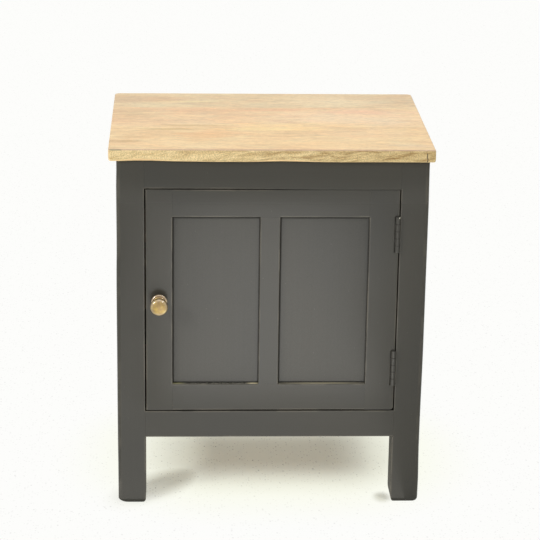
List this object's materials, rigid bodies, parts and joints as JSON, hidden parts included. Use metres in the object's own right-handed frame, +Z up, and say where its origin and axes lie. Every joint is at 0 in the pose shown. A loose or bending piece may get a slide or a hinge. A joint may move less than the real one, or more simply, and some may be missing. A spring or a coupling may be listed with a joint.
{
  "type": "side table",
  "caption": "Small cupboard-style side table: pale wood top, dark painted carcass on square legs, inset panelled door on butt hinges with a brass knob, and a shelf inside.",
  "frame": {"origin": "on the floor, under the middle of the whole piece with its knob", "axes": "+Z up, -Y towards the person in front of the door, +X to that person's right"},
  "size_m": [0.45, 0.354, 0.529],
  "materials": {
    "top_wood": "pale hardwood, hand-rubbed satin oil",
    "painted_wood": "charcoal-grey satin paint on hardwood",
    "inner_wood": "bare planed hardwood",
    "aged_brass": "aged, polished by use",
    "painted_hinge": "charcoal-grey satin paint on steel",
    "zinc_steel": "zinc plated",
    "catch_plastic": "moulded",
    "ferrite": "sintered"
  },
  "bodies": {
    "carcass": {"back_panel": "painted_wood", "catch_housing": "catch_plastic", "catch_magnet": "ferrite", "catch_pole_plates": "zinc_steel", "catch_screws": "zinc_steel", "floor_bearer_left": "inner_wood", "floor_bearer_right": "inner_wood", "floor_bearer_screws_left": "zinc_steel", "floor_bearer_screws_right": "zinc_steel", "floor_board": "inner_wood", "front_bottom_rail": "painted_wood", "front_top_rail": "painted_wood", "hinge_frame_screws": "zinc_steel", "left_bottom_rail": "painted_wood", "left_side_panel": "painted_wood", "left_top_rail": "painted_wood", "leg_front_left": "painted_wood", "leg_front_right": "painted_wood", "leg_rear_left": "painted_wood", "leg_rear_right": "painted_wood", "lower_hinge_frame_leaf": "painted_hinge", "lower_hinge_pin": "painted_hinge", "rear_bottom_rail": "painted_wood", "rear_top_rail": "painted_wood", "right_bottom_rail": "painted_wood", "right_side_panel": "painted_wood", "right_top_rail": "painted_wood", "shelf": "inner_wood", "shelf_bearer_left": "inner_wood", "shelf_bearer_right": "inner_wood", "shelf_screws": "zinc_steel", "top_board_front": "top_wood", "top_board_middle": "top_wood", "top_board_rear": "top_wood", "top_cleat_left": "inner_wood", "top_cleat_right": "inner_wood", "top_cleat_screws_left": "zinc_steel", "top_cleat_screws_right": "zinc_steel", "top_fixing_screws": "zinc_steel", "upper_hinge_frame_leaf": "painted_hinge", "upper_hinge_pin": "painted_hinge"},
    "door": {"door_bottom_rail": "painted_wood", "door_hinge_stile": "painted_wood", "door_lock_stile": "painted_wood", "door_muntin": "painted_wood", "door_panel_left": "painted_wood", "door_panel_right": "painted_wood", "door_top_rail": "painted_wood", "hinge_door_screws": "zinc_steel", "knob": "aged_brass", "knob_rosette": "aged_brass", "knob_screw": "zinc_steel", "lower_hinge_door_leaf": "painted_hinge", "strike_plate": "zinc_steel", "strike_screw": "zinc_steel", "upper_hinge_door_leaf": "painted_hinge"}
  },
  "joints": [
    {"name": "door_hinge", "type": "hinge", "parent": "carcass", "child": "door", "pos_m": [0.1763, -0.1515, 0.3064], "axis": [0, 0, 1], "range_deg": [0, 180]}
  ]
}
